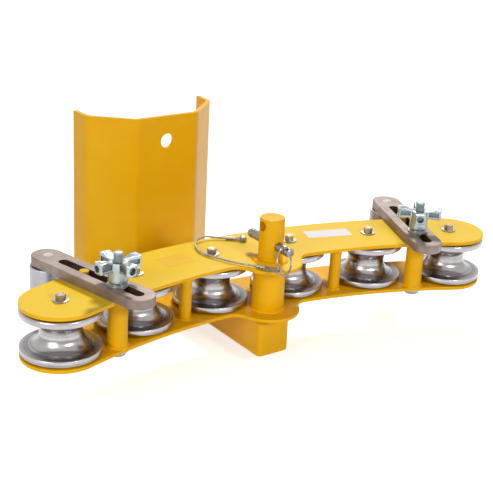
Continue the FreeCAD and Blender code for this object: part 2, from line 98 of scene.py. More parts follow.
KEEPER_STATION = 2.0
KEEPER_INSET = 36.0
BAR_TOP = 49.26
STUD_TOP = 92.4
SLOT_HALF = 9.0
SLOT_INNER = -72.5
SLOT_OUTER = 64.0
ROLLER_OFFSET = 95.0
ROLLER_RADIUS = 24.0
ROLLER_HIGH = 35.96
ROLLER_LOW = -30.04

WASHER_TOP = 38.11
NUT_TOP = 44.71
AXLE_TOP = 45.01
HEX_FLATS = 11.1
AXLE_RADIUS = 3.95
AXLE_PITCH = 1.25
AXLE_HEAD = 5.3
AXLE_WASHER = (4.3, 10.3)
STUD_RADIUS = 6.33
STUD_PITCH = 1.95
STUD_HEX = 19.05
STUD_BORE = 6.41
ANCHOR_OFFSET = (22.3, 1.8)
ANCHOR_RADIUS = 2.4
SPACER_INSET = 28.0
SPACER_RADIUS = 7.95
KEEPER_POST_RADIUS = 12.65

WASHER_HEIGHT = 3.6
KNOB_BASE = 53.3
KNOB_HEIGHT = 30.86
HUB_HEIGHT = 27.56
HUB_RADIUS = 12.7
NECK_RADIUS = 12.1
PRONG_REACH = 30.8
PRONG_DROP = 14.0
PRONG_DIP_END = 20.0
KNOB_TURNS = {"left": math.radians(9.5), "right": math.radians(-36.5)}

RING_HOLE_Y = -38.5
RING_RADIUS = 17.5
RING_WIRE = 1.25
RING_SLACK = 0.6
RING_LEAN = math.radians(57.0)
RING_TILT = math.radians(27.0)

CORD_LOW = 39.21
CORD_HIGH = 42.21
CORD_DIAMETER = 2.6
CORD_GAP = 0.8
EYE_GAP = 0.6
ANCHOR_EYE = 4.0
RING_EYE = 3.0
FERRULE_LENGTH = 12.7
FERRULE_RADIUS = 2.4

# The studio, with lengths in metres. The floor glows at the first strength up to the first
# distance from its middle, and at the second from the second distance on.
WORLD_MATT = 0.11
LAMP_TARGET = (0, -0.25, -0.1)
FLOOR_HALF = 9.0
FLOOR_GAP = 0.0006
FLOOR_GLOW = (0.68, 1.0)
FLOOR_FADE = (0.7, 2.6)


def to_row(x, y, z, swung=True):
    """A point of the block frame in mm, as a point of the row frame in metres."""
    point = Vector((x, y, z))
    if swung:
        point.rotate(Matrix.Rotation(BLOCK_SWING, 3, "Z"))
    return (point - Vector((0, POLE_FACE, HOLE_Z))) * MM


def station(index, offset=0.0, across=0.0):
    """A place on the block: sheave steps along its arc, then out from the arc and along it."""
    turn = STEP * index
    reach = ARC_RADIUS + offset
    x = reach * math.sin(turn) + across * math.cos(turn)
    y = reach * math.cos(turn) - across * math.sin(turn) - ARC_BACK
    return x, y


def sheave_place(number):
    return station(number - (SHEAVE_COUNT + 1) / 2)


def keeper_place(side, offset=-KEEPER_INSET):
    return (*station(side * KEEPER_STATION, offset), 0)


# The camera was solved from points measured in the photograph; its place is in metres.
CAMERA_PLACE = (-0.8640, -1.3911, 0.4766)
CAMERA_AZIMUTH = math.radians(-36.344)
CAMERA_RISE = math.radians(21.374)
CAMERA_ROLL = math.radians(3.031)
CAMERA_LENS = 83.75


def put(name, data):
    obj = bpy.data.objects.new(name, data)
    bpy.context.scene.collection.objects.link(obj)
    return obj


def add_camera():
    rise = math.cos(CAMERA_RISE)
    back = Vector((math.sin(CAMERA_AZIMUTH) * rise, -math.cos(CAMERA_AZIMUTH) * rise, math.sin(CAMERA_RISE)))
    right = Vector((math.cos(CAMERA_AZIMUTH), math.sin(CAMERA_AZIMUTH), 0.0))
    up = back.cross(right)
    cos, sin = math.cos(CAMERA_ROLL), math.sin(CAMERA_ROLL)
    axes = Matrix((right * cos + up * sin, up * cos - right * sin, back)).transposed()
    data = bpy.data.cameras.new("camera")
    data.lens = CAMERA_LENS
    data.sensor_width = 36.0
    camera = put("camera", data)
    camera.matrix_world = Matrix.Translation(CAMERA_PLACE) @ axes.to_4x4()
    bpy.context.scene.camera = camera


def add_mesh(name, points, faces, place=(0, 0, 0), swung=True, turn=0.0, smooth=True):
    """A mesh drawn in mm about its place in the block frame."""
    spin = Matrix.Rotation(turn + (BLOCK_SWING if swung else 0.0), 3, "Z")
    mesh = bpy.data.meshes.new(name)
    mesh.from_pydata([tuple(spin @ Vector(p) * MM) for p in points], [], faces)
    mesh.validate()
    obj = put(name, mesh)
    obj.location = to_row(*place, swung)
    fix_normals(obj)
    if smooth:
        shade(obj)
    return obj


def fix_normals(obj):
    bm = bmesh.new()
    bm.from_mesh(obj.data)
    bmesh.ops.remove_doubles(bm, verts=bm.verts, dist=1e-7)
    bmesh.ops.recalc_face_normals(bm, faces=bm.faces)
    bm.to_mesh(obj.data)
    bm.free()


def shade(obj, angle=math.radians(32)):
    """Smooth shading, with edges kept sharp where faces meet at more than the angle."""
    mesh = obj.data
    bm = bmesh.new()
    bm.from_mesh(mesh)
    for face in bm.faces:
        face.smooth = True
    for edge in bm.edges:
        flat = len(edge.link_faces) == 2 and edge.calc_face_angle(math.pi) < angle
        edge.smooth = flat
    bm.to_mesh(mesh)
    bm.free()


def apply_modifiers(obj):
    graph = bpy.context.evaluated_depsgraph_get()
    graph.update()
    mesh = bpy.data.meshes.new_from_object(obj.evaluated_get(graph))
    obj.modifiers.clear()
    obj.data = mesh


def combine(obj, others, operation):
    """Adds the solids or cuts them away; the hollows take the cutters' materials."""
    for other in others:
        modifier = obj.modifiers.new(operation, "BOOLEAN")
        modifier.operation = operation
        modifier.solver = "EXACT"
        modifier.material_mode = "TRANSFER" if operation == "DIFFERENCE" else "INDEX"
        modifier.object = other
    bpy.context.view_layer.update()
    apply_modifiers(obj)
    for other in others:
        bpy.data.objects.remove(other)


def join(name, objs):
    """One object from several, with its origin where the first one has it."""
    base = objs[0]
    bpy.context.view_layer.update()
    inverse = base.matrix_world.inverted()
    bm = bmesh.new()
    for obj in objs:
        mesh = obj.data.copy()
        mesh.transform(inverse @ obj.matrix_world)
        bm.from_mesh(mesh)
        bpy.data.meshes.remove(mesh)
    mesh = bpy.data.meshes.new(name)
    bm.to_mesh(mesh)
    bm.free()
    made = put(name, mesh)
    made.matrix_world = base.matrix_world.copy()
    for obj in objs:
        bpy.data.objects.remove(obj)
    return made


def round_row(points, radius, z, steps):
    """Adds a circle of points and gives back their numbers; radius may be a function of the turn."""
    start = len(points)
    for k in range(steps):
        turn = 2 * math.pi * k / steps
        reach = radius(turn) if callable(radius) else radius
        points.append((reach * math.cos(turn), reach * math.sin(turn), z))
    return range(start, start + steps)


def skin(rows):
    """Faces between rows of equally many points, each row closed on itself."""
    return [(a[k], a[(k + 1) % len(a)], b[(k + 1) % len(a)], b[k])
            for a, b in zip(rows, rows[1:]) for k in range(len(a))]


def lathe(name, profile, place=(0, 0, 0), swung=True, steps=96, axis="Z", closed=False, turn=0.0):
    """Turns a profile of (radius, height) points round an axis; open ends on the axis close."""
    points = []
    faces = []
    rows = [round_row(points, radius, height, steps if radius > 1e-6 else 1) for radius, height in profile]
    for low, high in zip(rows, rows[1:] + rows[:1] if closed else rows[1:]):
        if len(low) == len(high) > 1:
            faces += skin([low, high])
        elif len(low) > 1:
            faces += [(low[k], low[(k + 1) % steps], high[0]) for k in range(steps)]
        elif len(high) > 1:
            faces += [(low[0], high[(k + 1) % steps], high[k]) for k in range(steps)]
    if axis == "Y":
        points = [(x, z, -y) for x, y, z in points]
    if axis == "X":
        points = [(z, y, -x) for x, y, z in points]
    return add_mesh(name, points, faces, place, swung, turn)


def rod(name, radius, low, high, place, steps, axis="Z", swung=True):
    """A plain cylinder."""
    return lathe(name, [(0, low), (radius, low), (radius, high), (0, high)], place, swung, steps, axis)


def arc(centre, radius, start, end, steps):
    """Points on an arc from one angle to the other, both in degrees."""
    turns = [math.radians(start + (end - start) * k / steps) for k in range(steps + 1)]
    return [(centre[0] + radius * math.cos(turn), centre[1] + radius * math.sin(turn)) for turn in turns]


def rounded(profile, radius, steps=4):
    """The profile with each inner corner turned into a small arc."""
    made = [profile[0]]
    for before, corner, after in zip(profile, profile[1:], profile[2:]):
        a, c, b = Vector(before), Vector(corner), Vector(after)
        to_a, to_b = a - c, b - c
        if to_a.length < 1e-6 or to_b.length < 1e-6:
            made.append(corner)
            continue
        bend = to_a.angle(to_b)
        if bend > math.radians(172):
            made.append(corner)
            continue
        cut = min(radius / math.tan(bend / 2), 0.45 * to_a.length, 0.45 * to_b.length)
        start = c + to_a.normalized() * cut
        end = c + to_b.normalized() * cut
        for k in range(steps + 1):
            t = k / steps
            made.append(tuple(start * (1 - t) ** 2 + c * (2 * t * (1 - t)) + end * t ** 2))
    made.append(profile[-1])
    return made


def thread(name, major, pitch, low, high, place, steps, point_length=1.0, rows_per_turn=8):
    """A screw thread with a chamfered top end, as a closed solid."""
    depth = 0.54 * pitch
    count = max(2, int(round((high - low) / pitch * rows_per_turn)))

    def flank(turn, z):
        ridge = abs(2 * ((z / pitch - turn / (2 * math.pi)) % 1.0) - 1)
        cut_depth = depth * min(1.0, max(0.0, 1.15 * ridge - 0.08))
        return major - max(cut_depth, depth * 0.9 - (high - z) * depth / point_length)

    points = []
    rows = []
    for j in range(count + 1):
        z = low + (high - low) * j / count
        rows.append(round_row(points, lambda turn: flank(turn, z), z, steps))
    return add_mesh(name, points, skin(rows) + [tuple(reversed(rows[0])), tuple(rows[-1])], place)


def hex_nut(name, flats, low, high, bore, place, chamfer=0.9, turn=0.0):
    """A hexagon with round chamfers at both ends and a round bore."""
    steps = 72
    corner = flats / 2 / math.cos(math.radians(30))
    edge = chamfer * 0.55
    points = []

    def hexagon(at):
        local = (at - turn) % (math.pi / 3) - math.pi / 6
        return flats / 2 / math.cos(local)

    rows = []
    for z, widest in ((low, corner - chamfer), (low + edge, corner),
                      (high - edge, corner), (high, corner - chamfer)):
        rows.append(round_row(points, lambda at: min(hexagon(at), widest), z, steps))
    rows += [round_row(points, bore, z, steps) for z in (high, low)]
    return add_mesh(name, points, skin(rows + rows[:1]), place)


def slab_faces(count):
    """Faces of a solid whose points are an outline's at one level, then the same at the next."""
    ends = [tuple(reversed(range(count))), tuple(range(count, 2 * count))]
    return skin([range(count), range(count, 2 * count)]) + ends


def weld(name, path, leg, ripple, pitch, place=(0, 0, 0), swung=True):
    """A closed, rippled fillet weld: path gives (point, direction on one face, and on the other)."""
    points = []
    section = 6
    run = 0.0
    last = None
    for point, along_a, along_b in path:
        p = Vector(point)
        if last is not None:
            run += (p - last).length
        last = p
        wave = 1 + ripple * math.sin(2 * math.pi * run / pitch) + 0.5 * ripple * math.sin(run * 0.83)
        a = Vector(along_a) * leg * wave
        b = Vector(along_b) * leg * wave
        root = p - (Vector(along_a) + Vector(along_b)) * 0.25
        points.append(tuple(root))
        for k in range(section + 1):
            t = k / section
            bulge = 1 + 0.16 * math.sin(math.pi * t)
            points.append(tuple(p + (a * (1 - t) + b * t) * bulge))
    rows = [range(i, i + section + 2) for i in range(0, len(points), section + 2)]
    return add_mesh(name, points, skin(rows + rows[:1]), place, swung)


def ring_weld(name, radius, z, leg, place, rise):
    """A weld round a post, on a face below it (rise 1) or above it (rise -1)."""
    steps = 160
    path = []
    for k in range(steps):
        turn = 2 * math.pi * k / steps
        out = (math.cos(turn), math.sin(turn), 0.0)
        path.append(((radius * out[0], radius * out[1], z), out, (0.0, 0.0, rise)))
    turns = 2 * math.pi * radius
    pitch = turns / max(8, round(turns / 1.7))
    return weld(name, path, leg, 0.09, pitch, place)


class Graph:
    """A short way to wire a procedural material."""

    def __init__(self, name):
        self.material = bpy.data.materials.new(name)
        self.material.use_nodes = True
        self.tree = self.material.node_tree
        self.shader = self.tree.nodes["Principled BSDF"]
        self.place = self.node("ShaderNodeTexCoord").outputs["Object"]

    def node(self, kind, **values):
        made = self.tree.nodes.new(kind)
        for name, value in values.items():
            setattr(made, name, value)
        return made

    def link(self, source, target):
        self.tree.links.new(source, target)

    def stretch(self, scale):
        made = self.node("ShaderNodeMapping")
        made.inputs["Scale"].default_value = scale
        self.link(self.place, made.inputs["Vector"])
        return made.outputs["Vector"]

    def noise(self, scale, detail=2.0, rough=0.5, vector=None):
        made = self.node("ShaderNodeTexNoise")
        made.inputs["Scale"].default_value = scale
        made.inputs["Detail"].default_value = detail
        made.inputs["Roughness"].default_value = rough
        self.link(vector if vector else self.place, made.inputs["Vector"])
        return made.outputs["Fac"]

    def rings(self, scale, detail):
        """Noise that depends only on the distance from local Z and the height: turning marks."""
        split = self.node("ShaderNodeSeparateXYZ")
        self.link(self.place, split.inputs["Vector"])
        flat = self.node("ShaderNodeCombineXYZ")
        self.link(split.outputs["X"], flat.inputs["X"])
        self.link(split.outputs["Y"], flat.inputs["Y"])
        length = self.node("ShaderNodeVectorMath", operation="LENGTH")
        self.link(flat.outputs["Vector"], length.inputs[0])
        radius = self.math("MULTIPLY", length.outputs["Value"], scale)
        height = self.math("MULTIPLY", split.outputs["Z"], scale)
        joined = self.node("ShaderNodeCombineXYZ")
        self.link(radius, joined.inputs["X"])
        self.link(height, joined.inputs["Y"])
        return self.noise(1.0, detail, 0.6, joined.outputs["Vector"])

    def math(self, operation, a, b):
        made = self.node("ShaderNodeMath", operation=operation)
        for socket, value in zip(made.inputs, (a, b)):
            if isinstance(value, (int, float)):
                socket.default_value = value
            else:
                self.link(value, socket)
        return made.outputs["Value"]

    def ramp(self, source, low, high, start=0.3, end=0.7):
        made = self.node("ShaderNodeMapRange")
        made.inputs["From Min"].default_value = start
        made.inputs["From Max"].default_value = end
        made.inputs["To Min"].default_value = low
        made.inputs["To Max"].default_value = high
        self.link(source, made.inputs["Value"])
        return made.outputs["Result"]

    def colours(self, source, stops):
        made = self.node("ShaderNodeValToRGB")
        ramp = made.color_ramp
        while len(ramp.elements) < len(stops):
            ramp.elements.new(0.5)
        for element, (at, colour) in zip(ramp.elements, stops):
            element.position = at
            element.color = (*colour, 1.0)
        self.link(source, made.inputs["Fac"])
        return made.outputs["Color"]

    def mix(self, factor, first, second):
        made = self.node("ShaderNodeMix", data_type="RGBA")
        self.link(factor, made.inputs[0])
        for socket, value in ((made.inputs[6], first), (made.inputs[7], second)):
            if isinstance(value, tuple):
                socket.default_value = value
            else:
                self.link(value, socket)
        return made.outputs[2]

    def bump(self, height, distance, strength=1.0, normal=None):
        made = self.node("ShaderNodeBump")
        made.inputs["Strength"].default_value = strength
        made.inputs["Distance"].default_value = distance
        self.link(height, made.inputs["Height"])
        if normal:
            self.link(normal, made.inputs["Normal"])
        return made.outputs["Normal"]

    def set(self, **values):
        for name, value in values.items():
            socket = self.shader.inputs[name.replace("_", " ")]
            if isinstance(value, (int, float, tuple)):
                socket.default_value = value
            else:
                self.link(value, socket)
        return self.material


def yellow_paint(name, dark, light, lit_top_colour=None):
    """Sprayed paint; where lit_top_colour is given, faces that look up are painted lighter towards it, as
    painted light falling from above.
    """
    g = Graph(name)
    cloud = g.noise(9.0, 3.0, 0.55)
    smear = g.noise(14.0, 4.0, 0.6, g.stretch((1.0, 1.0, 3.4)))
    both = g.math("ADD", g.math("MULTIPLY", cloud, 0.6), g.math("MULTIPLY", smear, 0.4))
    colour = g.colours(both, [(0.32, dark), (0.68, light)])
    # Painted light: faces that look up are mixed towards a lighter, yellower colour.
    if lit_top_colour:
        facing = g.node("ShaderNodeSeparateXYZ")
        g.link(g.node("ShaderNodeNewGeometry").outputs["Normal"], facing.inputs["Vector"])
        lit_colour = g.colours(both, [(0.32, tuple(c * 0.95 for c in lit_top_colour)), (0.68, lit_top_colour)])
        colour = g.mix(g.ramp(facing.outputs["Z"], 0.0, 1.0, 0.5, 1.0), colour, lit_colour)
    skin = g.noise(330.0, 1.5, 0.4)
    waves = g.noise(70.0, 2.0, 0.5)
    normal = g.bump(skin, 0.00012, 0.35)
    normal = g.bump(waves, 0.0005, 0.18, normal)
    spread = g.ramp(g.noise(32.0, 4.0, 0.65), 0.29, 0.41)
    return g.set(Base_Color=colour, Roughness=spread, Normal=normal, Specular_IOR_Level=0.10,
                 Coat_Weight=0.12, Coat_Roughness=0.13)


def turned_metal(name, colour, rough, marks, reflection_dark):
    """Metal with fine and broad turning marks; the broad ones also darken the colour down to
    reflection_dark, as painted reflection of dark surroundings.
    """
    g = Graph(name)
    fine = g.rings(900.0, 3.0)
    broad = g.rings(160.0, 2.0)
    spots = g.noise(60.0, 4.0, 0.6, g.stretch((1.0, 1.0, 0.3)))
    normal = g.bump(fine, 0.00006 * marks, 0.5)
    normal = g.bump(broad, 0.00022 * marks, 0.35, normal)
    low = tuple(c * 0.84 for c in colour)
    shade_of = g.colours(spots, [(0.3, low), (0.62, colour)])
    # Painted reflection: dark bands along the broad turning marks stand in for reflections of dark
    # surroundings.
    lines = g.colours(broad, [(0.36, (reflection_dark, reflection_dark, reflection_dark * 1.03)), (0.60, (1.0, 1.0, 1.0))])
    both = g.node("ShaderNodeMix", data_type="RGBA", blend_type="MULTIPLY")
    both.inputs[0].default_value = 1.0
    g.link(shade_of, both.inputs[6])
    g.link(lines, both.inputs[7])
    shade_of = both.outputs[2]
    spread = g.ramp(fine, rough - 0.04, rough + 0.08)
    around = g.node("ShaderNodeTangent", direction_type="RADIAL", axis="Z").outputs["Tangent"]
    return g.set(Base_Color=shade_of, Metallic=1.0, Roughness=spread, Normal=normal, Anisotropic=0.8,
                 Tangent=around)


def plain_metal(name, colour, rough, scale=90.0, grit=0.00012, metallic=1.0, spread=0.2):
    """Plated or cast metal, clouded down by spread of its colour."""
    g = Graph(name)
    spots = g.noise(scale, 4.0, 0.6)
    fine = g.noise(scale * 9, 2.0, 0.5)
    low = tuple(c * (1 - spread) for c in colour)
    shade_of = g.colours(spots, [(0.3, low), (0.66, colour)])
    normal = g.bump(fine, grit, 0.5)
    normal = g.bump(spots, grit * 4, 0.3, normal)
    return g.set(Base_Color=shade_of, Metallic=metallic, Normal=normal,
                 Roughness=g.ramp(spots, rough - 0.05, rough + 0.12))


def slot_wall(g):
    """One on the upright faces within the length and width of a keeper bar's slot; else zero."""
    facing = g.node("ShaderNodeSeparateXYZ")
    g.link(g.node("ShaderNodeNewGeometry").outputs["True Normal"], facing.inputs["Vector"])
    upright = g.math("LESS_THAN", g.math("ABSOLUTE", facing.outputs["Z"], 0.0), 0.5)

    def within(centre, direction, reach):
        dot = g.node("ShaderNodeVectorMath", operation="DOT_PRODUCT")
        g.link(g.place, dot.inputs[0])
        dot.inputs[1].default_value = direction
        off = g.math("ABSOLUTE", g.math("SUBTRACT", dot.outputs["Value"], direction.dot(centre)), 0.0)
        return g.math("LESS_THAN", off, reach * MM)

    found = []
    for side in (-1, 1):
        inner = to_row(*station(side * KEEPER_STATION, SLOT_INNER), 0)
        outer = to_row(*station(side * KEEPER_STATION, SLOT_OUTER), 0)
        along = (outer - inner).normalized()
        across = Vector((along.y, -along.x, 0))
        middle = (inner + outer) / 2
        found.append(g.math("MULTIPLY", within(middle, across, SLOT_HALF),
                            within(middle, along, (SLOT_OUTER - SLOT_INNER) / 2 + SLOT_HALF)))
    return g.math("MULTIPLY", g.math("MAXIMUM", *found), upright)


def raw_steel(name):
    g = Graph(name)
    scale = g.noise(38.0, 5.0, 0.65)
    brushed = g.noise(240.0, 3.0, 0.55)
    pits = g.noise(620.0, 2.0, 0.6)
    colour = g.colours(scale, [(0.26, (0.200, 0.143, 0.120)), (0.5, (0.270, 0.207, 0.177)),
                               (0.7, (0.345, 0.275, 0.240))])
    rust = g.ramp(g.noise(52.0, 3.0, 0.7), 0.0, 1.0, 0.715, 0.755)
    colour = g.mix(rust, colour, (0.230, 0.085, 0.025, 1.0))
    colour = g.mix(slot_wall(g), colour, (0.060, 0.030, 0.018, 1.0))
    normal = g.bump(brushed, 0.0003, 0.35)
    normal = g.bump(pits, 0.0002, 0.35, normal)
    return g.set(Base_Color=colour, Metallic=0.35, Roughness=g.ramp(scale, 0.56, 0.42), Normal=normal)


def rope_steel(name):
    g = Graph(name)
    dirt = g.noise(260.0, 3.0, 0.6)
    colour = g.colours(dirt, [(0.3, (0.22, 0.205, 0.18)), (0.7, (0.46, 0.43, 0.39))])
    return g.set(Base_Color=colour, Metallic=0.6, Roughness=0.40, Normal=g.bump(dirt, 0.0001, 0.4))


def vinyl(name, colour, rough):
    g = Graph(name)
    haze = g.noise(45.0, 3.0, 0.5)
    low = tuple(c * 0.94 for c in colour)
    normal = g.bump(haze, 0.0004, 0.12)
    return g.set(Base_Color=g.colours(haze, [(0.3, low), (0.7, colour)]), Roughness=rough, Normal=normal)


PAINT_DARK = (0.90, 0.445, 0.001)
PAINT_LIGHT = (0.96, 0.515, 0.003)
# The lighter colour painted on faces that look up, as painted light from above.
PAINT_LIT_TOP = (0.90, 0.585, 0.02)


def make_materials():
    return {
        "yellow_paint": yellow_paint("yellow_paint", PAINT_DARK, PAINT_LIGHT),
        "top_lit_paint": yellow_paint("top_lit_paint", PAINT_DARK, PAINT_LIGHT, PAINT_LIT_TOP),
        # The last number is how dark the painted reflection bands go.
        "polished_aluminium": turned_metal("polished_aluminium", (0.48, 0.45, 0.45), 0.20, 1.0, 0.55),
        "roller_aluminium": turned_metal("roller_aluminium", (0.42, 0.42, 0.44), 0.28, 1.3, 0.92),
        "raw_steel": raw_steel("raw_steel"),
        "zinc_plate": plain_metal("zinc_plate", (0.42, 0.42, 0.40), 0.30),
        "stud_zinc": plain_metal("stud_zinc", (0.30, 0.34, 0.34), 0.40),
        "nut_zinc": plain_metal("nut_zinc", (0.40, 0.32, 0.24), 0.34),
        "cast_zinc": plain_metal("cast_zinc", (0.44, 0.50, 0.52), 0.28, 60.0, 0.00022, 1.0, 0.42),
        "pin_end": plain_metal("pin_end", (0.52, 0.49, 0.47), 0.24),
        # Zinc painted darker, as painted shade in the knob's pockets, recesses and bore.
        "painted_shade_zinc": plain_metal("painted_shade_zinc", (0.20, 0.23, 0.24), 0.42, 60.0, 0.00022, 0.8),
        "bright_steel": plain_metal("bright_steel", (0.31, 0.29, 0.28), 0.24),
        "bronze": plain_metal("bronze", (0.55, 0.33, 0.13), 0.32),
        "wire_rope": rope_steel("wire_rope"),
        "crimp_metal": plain_metal("crimp_metal", (0.44, 0.40, 0.36), 0.34),
        "white_vinyl": vinyl("white_vinyl", (0.76, 0.70, 0.70), 0.36),
        "yellow_vinyl": vinyl("yellow_vinyl", (0.89, 0.53, 0.005), 0.26),
    }


def finish_piece(obj, body, material, replaced=()):
    if not any(obj.data.materials):
        obj.data.materials.clear()
        obj.data.materials.append(looks[material])
    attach(obj, body)
    if replaced:
        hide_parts(*replaced)
    return obj


# The top plate and guide pin take the paint with painted light on faces that look up.
NODE_LOOKS = {
    "pole_saddle": "yellow_paint", "support_arm": "yellow_paint", "arm_end_cap": "yellow_paint",
    "thrust_washer": "yellow_paint", "top_plate": "top_lit_paint", "bottom_plate": "yellow_paint",
    "spacer": "yellow_paint", "keeper_post": "yellow_paint", "guide_pin": "top_lit_paint",
    "keeper_bar": "raw_steel", "roller_pin": "pin_end", "roller_clip": "zinc_plate",
    "sheave_bush": "bronze", "axle_sleeve": "zinc_plate", "stud_washers": "zinc_plate",
}


def dress_nodes():
    for name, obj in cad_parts.items():
        for start, look in NODE_LOOKS.items():
            if name.startswith(start):
                obj.data.materials.clear()
                obj.data.materials.append(looks[look])


LANYARD_ROUTE = [to_row(*point) for point in (
    (-18.5, 87.0, CORD_LOW), (-30.5, 94.0, CORD_LOW), (-44.0, 98.0, CORD_HIGH),
    (-57.5, 94.5, CORD_HIGH), (-67.5, 84.5, CORD_LOW), (-73.0, 71.0, CORD_LOW),
    (-75.5, 55.0, CORD_LOW), (-71.0, 39.0, CORD_LOW), (-63.0, 24.0, CORD_LOW),
    (-54.0, 8.5, CORD_LOW), (-43.0, -6.0, CORD_LOW), (-32.0, -17.5, CORD_LOW),
)]


def curve_points(route):
    """Points read from the NURBS spline that has the route as its control points."""
    data = bpy.data.curves.new("route", "CURVE")
    data.dimensions = "3D"
    data.resolution_u = 24
    spline = data.splines.new("NURBS")
    spline.points.add(len(route) - 1)
    for point, place in zip(spline.points, route):
        point.co = (*place, 1.0)
    spline.order_u = 3
    spline.use_endpoint_u = True
    obj = put("route", data)
    graph = bpy.context.evaluated_depsgraph_get()
    mesh = bpy.data.meshes.new_from_object(obj.evaluated_get(graph))
    points = [v.co.copy() for v in mesh.vertices]
    bpy.data.objects.remove(obj)
    bpy.data.curves.remove(data)
    bpy.data.meshes.remove(mesh)
    return points


def even_points(points, gap):
    """The same line with points an even gap apart."""
    runs = [0.0]
    for a, b in zip(points, points[1:]):
        runs.append(runs[-1] + (b - a).length)
    count = max(2, int(round(runs[-1] / gap)))
    made = []
    i = 0
    for k in range(count + 1):
        at = runs[-1] * k / count
        while i < len(runs) - 2 and runs[i + 1] < at:
            i += 1
        t = (at - runs[i]) / max(runs[i + 1] - runs[i], 1e-12)
        made.append(points[i].lerp(points[i + 1], t))
    return made


def frames_along(points):
    """Tangent and two normals at each point, turned as little as may be."""
    made = []
    normal = Vector((0, 0, 1))
    for i, point in enumerate(points):
        tangent = (points[min(i + 1, len(points) - 1)] - points[max(i - 1, 0)]).normalized()
        normal = (normal - tangent * normal.dot(tangent)).normalized()
        made.append((point, tangent, normal, tangent.cross(normal)))
    return made


def tube_mesh(name, lines, radius, sides):
    """Round tubes along lines given in the row frame, closed at their ends."""
    points = []
    faces = []
    for line in lines:
        start = len(points)
        rows = frames_along(line)
        for point, _, normal, side in rows:
            for k in range(sides):
                turn = 2 * math.pi * k / sides
                points.append(point + (normal * math.cos(turn) + side * math.sin(turn)) * radius)
        rings = [range(i, i + sides) for i in range(start, len(points), sides)]
        faces += skin(rings) + [tuple(reversed(rings[0])), tuple(rings[-1])]
    mesh = bpy.data.meshes.new(name)
    mesh.from_pydata([tuple(p) for p in points], [], faces)
    obj = put(name, mesh)
    fix_normals(obj)
    shade(obj, math.radians(60))
    return obj


def rope_lines(points, diameter):
    """A core and the strands laid round it, each a third as thick as the rope."""
    strands, lay = 6, 14.0 * MM
    strand = diameter / 6
    lines = [points]
    rows = frames_along(points)
    for s in range(strands):
        line = []
        run = 0.0
        for i, (point, _, normal, side) in enumerate(rows):
            if i:
                run += (point - rows[i - 1][0]).length
            turn = 2 * math.pi * (run / lay + s / strands)
            line.append(point + (normal * math.cos(turn) + side * math.sin(turn)) * (diameter / 2 - strand))
        lines.append(line)
    return lines, strand


def add_rope(name, points):
    lines, strand = rope_lines(points, CORD_DIAMETER * MM)
    return tube_mesh(name, lines, strand * 1.04, 7)


def ferrule(name, start, end):
    """An hourglass crimp with two pressed waists."""
    axis = end - start
    length = axis.length
    profile = [(0.0, 0.0), (0.72, 0.0), (0.94, 0.03), (1.0, 0.08), (1.0, 0.17), (0.86, 0.26), (0.84, 0.33),
               (0.98, 0.42), (1.0, 0.5), (0.98, 0.58), (0.84, 0.67), (0.86, 0.74), (1.0, 0.83), (1.0, 0.92),
               (0.94, 0.97), (0.72, 1.0), (0.0, 1.0)]
    outline = [(r * FERRULE_RADIUS, t * length / MM) for r, t in rounded(profile, 0.02, 2)]
    made = lathe(name, outline, steps=28)
    turn = Vector((0, 0, 1)).rotation_difference(axis.normalized()).to_matrix().to_4x4()
    made.matrix_world = Matrix.Translation(start) @ turn
    return made


def eye_line(mouth, centre, radius, normal):
    """A loop out of a mouth, round a centre and back, in the plane of the normal."""
    ahead = (centre - mouth).normalized()
    across = normal.cross(ahead).normalized()
    half = CORD_DIAMETER * MM * 0.5
    tuck = ahead * 3.0 * MM
    line = [mouth + across * half - tuck, mouth + across * half]
    reach = (centre - mouth).length
    spread = math.asin(min(0.99, (radius - half) / reach))
    for k in range(25):
        turn = (math.pi / 2 + spread) * (1 - 2 * k / 24)
        line.append(centre + ahead * (radius * math.cos(turn)) + across * (radius * math.sin(turn)))
    line += [mouth - across * half, mouth - across * half - tuck]
    return line


def ring_frame():
    """The pull ring's centre, and the two directions that span its plane."""
    axis = Vector((math.cos(RING_LEAN), 0, -math.sin(RING_LEAN)))
    down = Vector((-math.sin(RING_LEAN), 0, -math.cos(RING_LEAN))) * math.cos(RING_TILT)
    down.y = -math.sin(RING_TILT)
    centre = to_row(0, RING_HOLE_Y, PIN_Z, False) + down * (RING_RADIUS - RING_SLACK) * MM
    return centre, axis, down


def add_lanyard():
    points = even_points(curve_points(LANYARD_ROUTE), CORD_GAP * MM)
    rope = add_rope("lanyard_rope", points)
    rope.data.materials.append(looks["wire_rope"])
    first = (points[0] - points[1]).normalized()
    last = (points[-1] - points[-2]).normalized()
    near_mouth = points[0] + first * FERRULE_LENGTH * MM

    # The far eye goes round the ring's wire, low on its left.
    centre, axis, down = ring_frame()
    clock = math.radians(94)
    wire = centre + (axis * math.cos(clock) + down * math.sin(clock)) * RING_RADIUS * MM
    tangent = down * math.cos(clock) - axis * math.sin(clock)
    lead = (last + (wire - points[-1]).normalized()).normalized()
    far_mouth = points[-1] + lead * FERRULE_LENGTH * MM
    near_ferrule = ferrule("lanyard_ferrule_anchor", points[0], near_mouth)
    far_ferrule = ferrule("lanyard_ferrule_ring", points[-1], far_mouth)

    anchor = to_row(*station(0, *ANCHOR_OFFSET), CORD_LOW)
    anchor_eye = eye_line(near_mouth, anchor, ANCHOR_EYE * MM, Vector((0, 0, 1)))
    near_eye = add_rope("lanyard_eye_anchor", even_points(anchor_eye, EYE_GAP * MM))

    ahead = (wire - far_mouth).normalized()
    normal = (tangent - ahead * tangent.dot(ahead)).normalized()
    ring_eye = eye_line(far_mouth, wire, RING_EYE * MM, normal)
    far_eye = add_rope("lanyard_eye_ring", even_points(ring_eye, EYE_GAP * MM))

    finish_piece(near_ferrule, "frame", "crimp_metal", replaced=("lanyard_ferrules",))
    finish_piece(far_ferrule, "base", "crimp_metal", replaced=("lanyard_ferrules",))
    finish_piece(near_eye, "frame", "wire_rope")
    finish_piece(far_eye, "base", "wire_rope")
    to_row(-70, 50, CORD_LOW)
    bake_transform(rope)
    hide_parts("lanyard")


